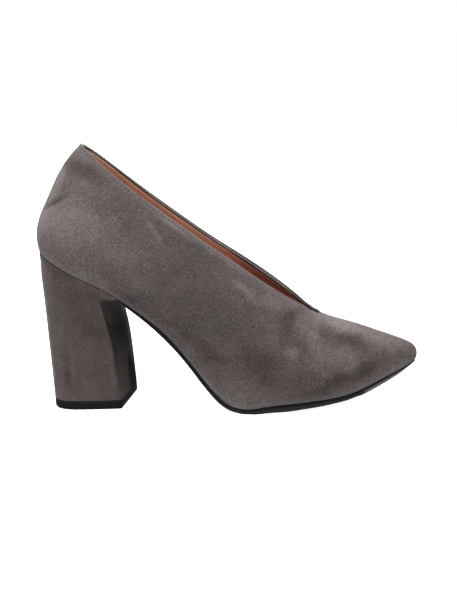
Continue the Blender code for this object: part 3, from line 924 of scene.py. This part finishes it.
def heel_ring(level):
    """Plan of the heel at a share of its height, from the outer front corner round and over the breast."""
    back, front, width, taper, square = (HEEL_CURVE[name](level) for name in HEEL_COLUMNS[1:])
    girth = np.linspace(0, girth_at(LIP_X), HEEL_SIDE_STEPS)
    foot_x = CURVE["foot_x"](girth)
    share = (foot_x - foot_x[0]) / (foot_x[-1] - foot_x[0])
    squared = (1 - np.maximum(1 - share / HEEL_WIDEST, 0) ** HEEL_POWER) ** (1 / HEEL_POWER)
    turn = np.linspace(0, math.pi / 2, HEEL_CORNER_STEPS)
    corner = np.interp(level, HEEL_CORNER_LEVEL, HEEL_CORNER)
    sides = []
    for name, side in (("outer", OUTER), ("inner", INNER)):
        seat = CURVE[name](girth)
        half = (seat + square * (squared * seat.max() - seat)) * width * (1 - taper * share ** 2)
        x = back + share * (front - back)
        edge = front - corner - HEEL_CORNER_CLEAR
        kept = np.append(x[x < edge - HEEL_CORNER_CLEAR], edge)
        corner_x = front - corner * (1 - np.sin(turn))
        corner_half = half[-1] - corner * (1 - np.cos(turn))
        spare = np.interp(np.linspace(0, 1, HEEL_SIDE_STEPS - 1), np.linspace(0, 1, len(kept)), kept)
        side_x = np.append(spare, corner_x)
        side_half = np.append(np.interp(spare, x, half), corner_half)
        sides.append(np.stack([side_x, side_half * side], 1))
    breast = np.linspace(sides[1][-1], sides[0][-1], BREAST_STEPS)[1:-1]
    return np.concatenate([sides[0][::-1], sides[1][1:], breast])


def heel_rings():
    """Rings of the heel from its foot to its seat and over the pad on the seat, with their marks."""
    base = TOP_PIECE_HIGH + GAP
    levels = np.append(np.linspace(0, HEEL_FINE_FROM, HEEL_LEVELS // 2),
                       np.linspace(HEEL_FINE_FROM, 1, HEEL_LEVELS // 2)[1:])
    rings, drops = [], []
    for level in levels:
        plan = heel_ring(level)
        seat = BED(plan[:, 0]) - SEAT_GAP / bed_normal(plan[:, 0])[:, 2]
        rings.append(np.column_stack([plan, base + level * (seat - base)]))
        drops.append((1 - level) * (seat - base))
    pads = [np.zeros(len(plan)) for _ in rings]
    middle = (plan.min(axis=0) + plan.max(axis=0)) / 2
    pad = middle + (plan - middle) * (1 - SEAT_PAD_IN / np.abs(plan - middle).max())
    for sink in (SEAT_GAP, SEAT_PAD_CLEAR):
        rings.append(np.column_stack([pad, BED(pad[:, 0]) - sink / bed_normal(pad[:, 0])[:, 2]]))
        drops.append(np.full(len(pad), SEAT_ROUND))
        pads.append(np.ones(len(pad)))
    rings = np.array(rings)
    across = rings[..., 1]
    return rings, {"from_outer": across - across.min(axis=1, keepdims=True),
                   "from_inner": across.max(axis=1, keepdims=True) - across,
                   "from_seat": np.array(drops), "pad": np.array(pads)}


def breast_painted_light(skin, points):
    """Painted shade and light on the heel's breast at each vertex, as nap tone; nothing on the sides and the
    back.
    """
    forward = np.clip([vert.normal.x for vert in skin.verts], 0, 1)
    from_outer, from_inner = (mark_values(skin, name) for name in ("from_outer", "from_inner"))
    z = points[:, 2]
    near_wide = np.interp(z, BREAST_NEAR_WIDE_Z, BREAST_NEAR_WIDE)
    near = np.clip(BREAST_NEAR_HARD * (1 - from_outer / near_wide), 0, 1)
    near *= eased(forward, *BREAST_NEAR_FORWARD) * np.interp(z, BREAST_NEAR_Z, BREAST_NEAR_LIGHT_AND_SHADE)
    low = BREAST_LOW_LIGHT * eased(z, *BREAST_LOW_Z)
    cove = COVE_LIGHT * eased(z, *COVE_Z)
    rim = BREAST_RIM_LIGHT * eased(from_inner, *BREAST_RIM_WIDE) * eased(z, *BREAST_RIM_Z)
    far = BREAST_FAR_SHADE * eased(points[:, 1], *BREAST_FAR_Y) * eased(z, *BREAST_FAR_Z)
    return near + forward * (BREAST_SHADE + low + cove + rim + far)


def heel(finishes):
    """Covered block heel, its front running out into a lip; a pad on its seat closes the gap inside."""
    rings, marks = heel_rings()
    skin = grid_skin(rings, True, marks)
    close_ends(skin)
    bmesh.ops.poke(skin, faces=[face for face in skin.faces if len(face.verts) > 4])
    skin.normal_update()
    points = shoe_points(skin)
    # The heel's tone holds painted light and shade from its patches and all of the breast's
    tone = nap_and_painted_light_tone(HEEL_NAP_AND_PAINTED_LIGHT_PATCHES, points) + breast_painted_light(skin, points)
    # Painted shade on the seat pad, darkening the gap under the upper
    set_mark(skin, "nap", tone + SEAT_PAD_SHADE * mark_values(skin, "pad"))
    start, end = HEEL_FOLD_X
    inside = np.clip((points[:, 0] - start) / (end - start), 0, 1)
    fold = np.sin(math.pi * inside) * bell(points[:, 2] - HEEL_FOLD_Z, HEEL_FOLD_WIDE)
    from_seat = np.clip(mark_values(skin, "from_seat") / SEAT_ROUND, 0, 1)
    rolled = SEAT_ROUND * (1 - np.sqrt(1 - (1 - from_seat) ** 2))
    push_out(skin, -HEEL_FOLD_DEEP * fold * side_share(OUTER, points) - rolled)
    made = piece("heel_cover", skin, finishes, sharp=60)
    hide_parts("heel")
    return made


def top_piece(finishes):
    """Rubber plate under the heel, its lower and upper edges rounded."""
    plan = heel_ring(0.0)
    middle = (plan.min(axis=0) + plan.max(axis=0)) / 2
    rings = [np.column_stack([middle + (plan - middle) * size, np.full(len(plan), height)])
             for height, size in TOP_PIECE_EDGE]
    skin = grid_skin(np.array(rings), True, {})
    close_ends(skin)
    made = piece("heel_top_piece_rubber", skin, finishes, sharp=40)
    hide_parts("heel_top_piece")
    return made


def sewn_line(side):
    """Points, running directions and outward normals of the sewn row on one side, from the back to the V."""
    girth = np.linspace(0.0, V_POINT + STITCH_IN / APEX_STRETCH, SEWN_STEPS)
    over = APEX_STRETCH * np.maximum(girth - V_POINT, 0.0)
    way_down = np.sqrt(np.maximum((STITCH_IN - proud(girth)) ** 2 - over ** 2, 0.0))
    fine = np.linspace(SEWN_FROM, 1.0, SEWN_ROWS)
    grid, height = np.meshgrid(girth, fine)
    points = wall(grid, height, side)
    step = np.linalg.norm(np.diff(points, axis=0), axis=2)
    below = np.concatenate([np.cumsum(step[::-1], axis=0)[::-1], np.zeros((1, len(girth)))])
    share = np.array([np.interp(way_down[i], below[::-1, i], fine[::-1]) for i in range(len(girth))])
    line = wall(girth, share, side)
    run = np.gradient(line, axis=0)
    rise = wall(girth, np.minimum(share + 0.01, 1.0), side) - wall(girth, share - 0.01, side)
    normal = np.cross(run, rise) * -side
    return line, run / np.linalg.norm(run, axis=1)[:, None], normal / np.linalg.norm(normal, axis=1)[:, None]


def even_steps(line, pitch):
    """Index values along a line at an even pitch."""
    way = np.append(0.0, np.cumsum(np.linalg.norm(np.diff(line, axis=0), axis=1)))
    count = int(way[-1] // pitch)
    return np.interp((np.arange(count) + 0.5) * way[-1] / count, way, np.arange(len(line)))


def placed(at, along, out, size):
    """Matrix that sets a round unit shape at a place, along a line, in millimetres."""
    axes = [Vector(axis) for axis in (along, np.cross(out, along), out)]
    turn = Matrix(axes).transposed()
    scale = Matrix.Diagonal(Vector(size) * METRES)
    return Matrix.Translation(Vector(to_frame(at))) @ (turn @ scale).to_4x4()


def sewn_row(name, depth, size, shift, finishes):
    """Joined row of small rounded shapes along the collar, shifted by a share of the pitch."""
    row = bmesh.new()
    for side in (OUTER, INNER):
        line, run, normal = sewn_line(side)
        steps = even_steps(line, STITCH_PITCH)
        steps = steps + shift * np.median(np.diff(steps))
        for step in steps[steps < len(line) - 1]:
            at, along, out = (np.array([np.interp(step, np.arange(len(line)), axis) for axis in values.T])
                              for values in (line, run, normal))
            bmesh.ops.create_uvsphere(row, u_segments=8, v_segments=5, radius=1.0,
                                      matrix=placed(at - depth * out, along, out, size))
    bmesh.ops.recalc_face_normals(row, faces=row.faces)
    return piece(name, row, finishes)


class Finish:
    """One node material, built up a step at a time."""

    def __init__(self, name):
        self.material = bpy.data.materials.new(name)
        self.material.use_nodes = True
        self.nodes = self.material.node_tree.nodes
        self.links = self.material.node_tree.links
        self.shader = self.nodes["Principled BSDF"]
        self.place = self.nodes.new("ShaderNodeTexCoord").outputs["Object"]

    def fixed(self, **sockets):
        for name, value in sockets.items():
            self.shader.inputs[name.replace("_", " ")].default_value = value

    def to(self, socket, source):
        self.links.new(source, self.shader.inputs[socket])

    def node(self, kind, **sockets):
        """New node of a kind; each socket takes a value or what another node gives."""
        made = self.nodes.new("ShaderNode" + kind)
        for name, value in sockets.items():
            if isinstance(value, bpy.types.NodeSocket):
                self.links.new(value, made.inputs[name])
            else:
                made.inputs[name].default_value = value
        return made

    def stretched(self, scale):
        """Object coordinates scaled, for a pattern that runs one way."""
        return self.node("Mapping", Scale=scale, Vector=self.place).outputs["Vector"]

    def grain(self, size, detail=3.0, rough=0.55, twist=0.0, along=None):
        """Soft noise with features of about the given size in millimetres, from 0 to 1."""
        made = self.node("TexNoise", Scale=1 / (size * METRES), Detail=detail, Roughness=rough,
                         Distortion=twist, Vector=along or self.place)
        return made.outputs["Fac"]

    def cells(self, size):
        """Closed cells of about the given size in millimetres, as the pores of a leather."""
        made = self.node("TexVoronoi", Scale=1 / (size * METRES), Vector=self.place)
        made.feature = "SMOOTH_F1"
        return made.outputs["Distance"]

    def mark(self, name):
        made = self.nodes.new("ShaderNodeAttribute")
        made.attribute_name = name
        return made.outputs["Fac"]

    def blend(self, parts, start):
        """Start plus each part, centred on its middle, times its weight; kept between 0 and 1."""
        total = start - sum(weight * middle for _, weight, middle in parts)
        for source, weight, _ in parts:
            made = self.nodes.new("ShaderNodeMath")
            made.operation = "MULTIPLY_ADD"
            self.links.new(source, made.inputs[0])
            made.inputs[1].default_value = weight
            if isinstance(total, float):
                made.inputs[2].default_value = total
            else:
                self.links.new(total, made.inputs[2])
            total = made.outputs[0]
        made.use_clamp = True
        return total

    def ramp(self, source, stops):
        made = self.node("ValToRGB", Fac=source)
        made.color_ramp.interpolation = "LINEAR"
        while len(made.color_ramp.elements) < len(stops):
            made.color_ramp.elements.new(0.5)
        for element, (at, colour) in zip(made.color_ramp.elements, stops):
            element.position = at
            element.color = (*colour, 1.0)
        return made.outputs["Color"]

    def greyed(self, colour):
        return self.node("RGBToBW", Color=colour).outputs["Val"]

    def mixed(self, share, first, second):
        made = self.nodes.new("ShaderNodeMix")
        made.data_type = "RGBA"
        self.links.new(share, made.inputs["Factor"])
        for socket, value in (("A", first), ("B", second)):
            target = next(i for i in made.inputs if i.name == socket and i.type == "RGBA")
            if isinstance(value, tuple):
                target.default_value = (*value, 1.0)
            else:
                self.links.new(value, target)
        return next(o for o in made.outputs if o.type == "RGBA")

    def bump(self, height, deep, strength):
        """Relief that the mesh is too coarse for, deep in millimetres."""
        made = self.node("Bump", Distance=deep * METRES, Strength=strength, Height=height)
        self.to("Normal", made.outputs["Normal"])


def suede(name, dark, middle, light, band_highlight_colour, painted_light_colour, streaks, fibres):
    """Brushed suede: patches, cloudy nap, short fibres, upright streaks and a soft sheen."""
    made = Finish(name)
    # The nap mark holds painted light and shade as well as the nap's tone; it sets the colour and the sheen
    nap = made.mark("nap")
    fibre = made.grain(0.66, detail=3.0, rough=0.7)
    fleck = made.grain(1.3, detail=2.0, rough=0.6)
    haze = made.grain(13.0, detail=1.0, rough=0.5, twist=0.6)
    cloud = made.grain(6.5, detail=1.0, rough=0.5, twist=0.5)
    brush = made.grain(19.0, detail=1.0, rough=0.5, twist=1.0)
    upright = made.grain(4.0, detail=2.0, along=made.stretched((1.0, 1.0, 0.12)))
    tone = made.blend([(nap, 0.36, 0.0), (brush, 0.16, 0.5), (cloud, 0.14, 0.5),
                       (upright, streaks, 0.5), (fleck, 0.32, 0.5), (fibre, fibres, 0.5)], 0.5)
    colour = made.ramp(tone, ((0.12, dark), (0.5, middle), (0.88, light)))
    faded = made.mixed(made.blend([(haze, 0.9, 0.5)], 0.12), colour, made.greyed(colour))
    # Painted highlight: a cooler, lighter band along the collar and the feather line
    band = made.blend([(made.mark("highlight_band"), 0.40, 0.0)], 0.0)
    # Painted highlight along the outer collar's edge
    edge = made.blend([(made.mark("edge_highlight"), 0.75, 0.0)], 0.0)
    made.to("Base Color", made.mixed(edge, made.mixed(band, faded, band_highlight_colour), painted_light_colour))
    made.bump(made.blend([(fibre, 0.6, 0.5), (fleck, 0.4, 0.5)], 0.5), 0.35, 0.5)
    made.to("Sheen Weight", made.blend([(nap, 0.15, 0.0)], 0.22))
    made.fixed(Roughness=0.92, Specular_IOR_Level=0.12, Sheen_Roughness=0.45,
               Sheen_Tint=(0.92, 0.88, 0.86, 1.0))
    return made.material


def cut_suede(name, dark, light, rim_dark_colour, painted_light_colour):
    """Rounded edge of the collar, darker towards the throat, with a painted highlight where it is marked so.
    """
    made = Finish(name)
    nap = made.grain(0.7, detail=3.0, rough=0.65)
    grey = made.ramp(nap, ((0.2, dark), (0.8, light)))
    # Darker towards the throat where the rim_dark mark is set
    worn = made.mixed(made.mark("rim_dark"), grey, rim_dark_colour)
    made.to("Base Color", made.mixed(made.mark("edge_highlight"), worn, painted_light_colour))
    made.bump(nap, 0.2, 0.5)
    made.fixed(Roughness=0.9, Specular_IOR_Level=0.12, Sheen_Weight=0.15)
    return made.material


def turned_suede(name, dark, light, painted_light_colour, below_fold_colour):
    """Suede folded over the collar's edge, lighter than the suede as painted light for its shade and paler
    at the throat, then the dark line down to the lining.
    """
    made = Finish(name)
    nap = made.grain(0.9, detail=3.0, rough=0.65)
    tone = made.blend([(nap, 0.6, 0.5), (made.mark("past_fold"), 0.5, -0.7),
                       (made.mark("girth"), -0.001, 95.0)], 0.5)
    grey = made.ramp(tone, ((0.2, dark), (0.8, light)))
    # Dark below the fold, down to the lining's edge
    past_fold = made.blend([(made.mark("past_fold"), 1 / FOLD_LINE_SOFT, 0.0)], 0.0)
    made.to("Base Color", made.mixed(past_fold, made.mixed(made.mark("throat"), grey, painted_light_colour), below_fold_colour))
    made.bump(nap, 0.25, 0.5)
    made.fixed(Roughness=0.9, Specular_IOR_Level=0.12, Sheen_Weight=0.15)
    return made.material


def leather(name, stops, top_shade_colour):
    """Smooth brown leather with fine pores; its colours run from heel to toe as painted light and shade, and
    its top edge is darkened as painted shade.
    """
    made = Finish(name)
    pores = made.cells(0.8)
    tone = made.blend([(made.mark("forward"), 1.0, 0.0), (made.grain(9.0, detail=3.0), 0.16, 0.5),
                       (made.grain(1.1, detail=2.0), 0.08, 0.5)], 0.0)
    # Painted shade along the lining's top edge, broken up by a fine grain
    speckled = made.blend([(made.mark("top_shade"), 1.0, 0.0), (made.grain(1.6, rough=0.7), 1.0, 0.52)], 0.0)
    made.to("Base Color", made.mixed(speckled, made.ramp(tone, stops), top_shade_colour))
    made.to("Roughness", made.blend([(made.grain(4.0), 0.25, 0.5)], 0.55))
    made.bump(made.blend([(pores, 0.7, 0.0), (made.grain(0.5), 0.3, 0.5)], 0.5), 0.12, 0.5)
    made.fixed(Specular_IOR_Level=0.2)
    return made.material


def black_sole(name, dark, light, rough, worn):
    """Dark resin or rubber, faintly scuffed, with a fine moulded stipple; worn is the colour of its worn
    edge.
    """
    made = Finish(name)
    scuff = made.grain(3.5, detail=4.0, rough=0.65, twist=0.6)
    stipple = made.grain(0.45, detail=2.0)
    tone = made.blend([(scuff, 0.8, 0.5), (stipple, 0.3, 0.5)], 0.5)
    black = made.ramp(tone, ((0.25, dark), (0.8, light)))
    wear_and_highlight = made.blend([(made.mark("worn"), 0.6, 0.0)], 0.0)
    made.to("Base Color", made.mixed(wear_and_highlight, black, worn))
    made.to("Roughness", made.blend([(scuff, 0.3, 0.5)], rough))
    made.bump(stipple, 0.08, 0.4)
    made.fixed(Specular_IOR_Level=0.22)
    return made.material


def thread_finish(name, dark, light):
    made = Finish(name)
    twist = made.grain(0.35, detail=2.0)
    made.to("Base Color", made.ramp(twist, ((0.3, dark), (0.7, light))))
    made.bump(twist, 0.08, 0.6)
    made.fixed(Roughness=0.75, Specular_IOR_Level=0.25)
    return made.material


def studio_floor():
    """Plain pale floor, wide enough to run out of the picture."""
    slab = bmesh.new()
    bmesh.ops.create_grid(slab, x_segments=1, y_segments=1, size=FLOOR_HALF)
    mesh = bpy.data.meshes.new("studio_floor")
    slab.to_mesh(mesh)
    slab.free()
    paper = bpy.data.materials.new("white_paper")
    paper.use_nodes = True
    shader = paper.node_tree.nodes["Principled BSDF"]
    shader.inputs["Base Color"].default_value = (0.93, 0.93, 0.93, 1.0)
    shader.inputs["Roughness"].default_value = 0.9
    shader.inputs["Specular IOR Level"].default_value = 0.1
    shader.inputs["Emission Color"].default_value = (1.0, 1.0, 1.0, 1.0)
    shader.inputs["Emission Strength"].default_value = FLOOR_GLOW
    mesh.materials.append(paper)
    floor = bpy.data.objects.new("studio_floor", mesh)
    bpy.context.scene.collection.objects.link(floor)
    floor.visible_diffuse = False
    floor.visible_glossy = False


def soft_light(name, from_place, spread, strength):
    """Even light from one side of the room, as soft as its spread in degrees is wide."""
    light = bpy.data.lights.new(name, "SUN")
    light.angle = math.radians(spread)
    light.energy = strength
    lamp = bpy.data.objects.new(name, light)
    lamp.location = from_place
    lamp.rotation_mode = "QUATERNION"
    lamp.rotation_quaternion = (-Vector(from_place)).to_track_quat("-Z", "Y")
    bpy.context.scene.collection.objects.link(lamp)


def white_room(low, level, high):
    """White backdrop; as a light it is dim at the floor and brighter overhead."""
    world = bpy.data.worlds.new("white_room")
    bpy.context.scene.world = world
    world.use_nodes = True
    nodes, links = world.node_tree.nodes, world.node_tree.links
    fill = nodes["Background"]
    rise = nodes.new("ShaderNodeSeparateXYZ")
    links.new(nodes.new("ShaderNodeTexCoord").outputs["Generated"], rise.inputs["Vector"])
    shade = nodes.new("ShaderNodeValToRGB")
    shade.color_ramp.elements.new(0.5)
    for element, at, grey in zip(shade.color_ramp.elements, ROOM_HEIGHTS, (low, level, high)):
        element.position = at
        element.color = (grey, grey, grey, 1.0)
    from_floor = nodes.new("ShaderNodeMapRange")
    from_floor.inputs["From Min"].default_value = -1.0
    links.new(rise.outputs["Z"], from_floor.inputs["Value"])
    links.new(from_floor.outputs["Result"], shade.inputs["Fac"])
    links.new(shade.outputs["Color"], fill.inputs["Color"])
    backdrop = nodes.new("ShaderNodeBackground")
    backdrop.inputs["Color"].default_value = (1.0, 1.0, 1.0, 1.0)
    seen = nodes.new("ShaderNodeMixShader")
    links.new(nodes.new("ShaderNodeLightPath").outputs["Is Camera Ray"], seen.inputs["Fac"])
    links.new(fill.outputs["Background"], seen.inputs[1])
    links.new(backdrop.outputs["Background"], seen.inputs[2])
    links.new(seen.outputs["Shader"], nodes["World Output"].inputs["Surface"])


def camera():
    """Camera at the photo's angles, as far away as its perspective says."""
    around, above, roll = (math.radians(angle) for angle in (CAMERA_AROUND, CAMERA_ABOVE, CAMERA_ROLL))
    level = math.cos(above)
    back = Vector((math.sin(around) * level, -math.cos(around) * level, math.sin(above)))
    right = Vector((math.cos(around), math.sin(around), 0.0))
    up = back.cross(right)
    across = math.cos(roll) * right - math.sin(roll) * up
    upright = math.sin(roll) * right + math.cos(roll) * up
    lens = bpy.data.cameras.new("photo_camera")
    lens.sensor_width = SENSOR
    lens.lens = SENSOR * PIXELS_PER_MILLIMETRE * CAMERA_AWAY / PICTURE_TALL
    lens.clip_start = 0.01
    made = bpy.data.objects.new("photo_camera", lens)
    turn = Matrix((across, upright, back)).transposed().to_4x4()
    place = Vector(to_frame(CAMERA_AIM)) + back * (CAMERA_AWAY * METRES)
    made.matrix_world = Matrix.Translation(place) @ turn
    bpy.context.scene.collection.objects.link(made)
    bpy.context.scene.camera = made


# The suede's colour after the light one is its painted highlight band; the one after that is its painted
# highlight along the outer collar's edge
grey_suede = suede("grey_suede", dark=(0.050, 0.040, 0.038), middle=(0.130, 0.104, 0.100),
                   light=(0.275, 0.240, 0.233), band_highlight_colour=(0.170, 0.162, 0.170), painted_light_colour=(0.270, 0.200, 0.175),
                   streaks=0.0, fibres=1.40)
heel_suede = suede("heel_suede", dark=(0.026, 0.021, 0.019), middle=(0.110, 0.086, 0.080),
                   light=(0.210, 0.168, 0.157), band_highlight_colour=(0.120, 0.105, 0.100), painted_light_colour=(0.120, 0.105, 0.100),
                   streaks=0.22, fibres=0.85)
# The turned edge's colours are lighter than the suede's as painted light for the shade it lies in; its third
# colour is painted light at the throat
turned_edge = turned_suede("turned_collar_edge", dark=(0.136, 0.133, 0.130), light=(0.385, 0.375, 0.364),
                           painted_light_colour=(0.740, 0.770, 0.740), below_fold_colour=(0.016, 0.010, 0.008))
# The cut edge's last colour is its painted highlight along the outer collar's edge
worn_edge = cut_suede("worn_collar_edge", dark=(0.150, 0.136, 0.128), light=(0.300, 0.274, 0.258),
                      rim_dark_colour=(0.070, 0.068, 0.067), painted_light_colour=(0.290, 0.205, 0.170))
# The lining's stops are painted light at the heel and near the V's point, and painted shade between them
lining_leather = leather("brown_lining_leather", (
    (0.11, (0.84, 0.50, 0.36)), (0.17, (0.78, 0.41, 0.275)), (0.26, (0.69, 0.335, 0.225)),
    (0.50, (0.48, 0.190, 0.115)), (0.535, (0.40, 0.145, 0.085)), (0.575, (0.27, 0.088, 0.055)),
    (0.61, (0.25, 0.080, 0.050)), (0.66, (0.40, 0.130, 0.085)), (0.74, (0.36, 0.115, 0.095)),
), top_shade_colour=(0.20, 0.075, 0.045))
sock_leather = leather("brown_sock_leather", ((0.0, (0.50, 0.225, 0.145)), (0.12, (0.58, 0.28, 0.185))),
                       top_shade_colour=(0.20, 0.075, 0.045))
brown_edge = leather("brown_leather_edge", ((0.0, (0.060, 0.024, 0.018)), (1.0, (0.040, 0.015, 0.011))),
                     top_shade_colour=(0.030, 0.012, 0.009))
sole_black = black_sole("black_sole_resin", dark=(0.004, 0.004, 0.005), light=(0.014, 0.015, 0.017),
                        rough=0.45, worn=(0.33, 0.335, 0.34))
rubber_black = black_sole("black_top_piece_rubber", dark=(0.004, 0.004, 0.004), light=(0.012, 0.012, 0.013),
                          rough=0.62, worn=(0.03, 0.03, 0.03))
grey_thread = thread_finish("grey_thread", dark=(0.120, 0.116, 0.122), light=(0.250, 0.244, 0.252))
# Needle holes: dark spots of painted shade, standing for the shade inside the holes
hole_shade = thread_finish("needle_hole_shade", dark=(0.022, 0.020, 0.020), light=(0.045, 0.042, 0.042))

upper_suede([grey_suede, turned_edge, worn_edge])
lining([lining_leather, brown_edge])
sock([sock_leather, brown_edge])
outsole([sole_black])
heel([heel_suede])
top_piece([rubber_black])
sewn_row("collar_stitches", depth=STITCH_GROOVE - STITCH_STANDS,
         size=(STITCH_LONG / 2, STITCH_THICK / 2, STITCH_THICK / 2), shift=0.0,
         finishes=[grey_thread])
# Dark sunk shapes as painted shade in the needle holes
sewn_row("needle_holes", depth=STITCH_GROOVE + HOLE_SUNK, size=(HOLE_SIZE / 2, HOLE_SIZE / 2, HOLE_DEEP / 2),
         shift=0.5, finishes=[hole_shade])

camera()
studio_floor()
white_room(low=0.30, level=0.16, high=0.50)
soft_light("key_light", from_place=(-0.1, -0.75, 1.0), spread=60, strength=2.3)
soft_light("top_light", from_place=(0.1, 0.15, 1.0), spread=80, strength=1.3)
soft_light("left_light", from_place=(-1.0, -0.25, 0.5), spread=60, strength=0.6)
bpy.context.scene.view_settings.view_transform = "Standard"
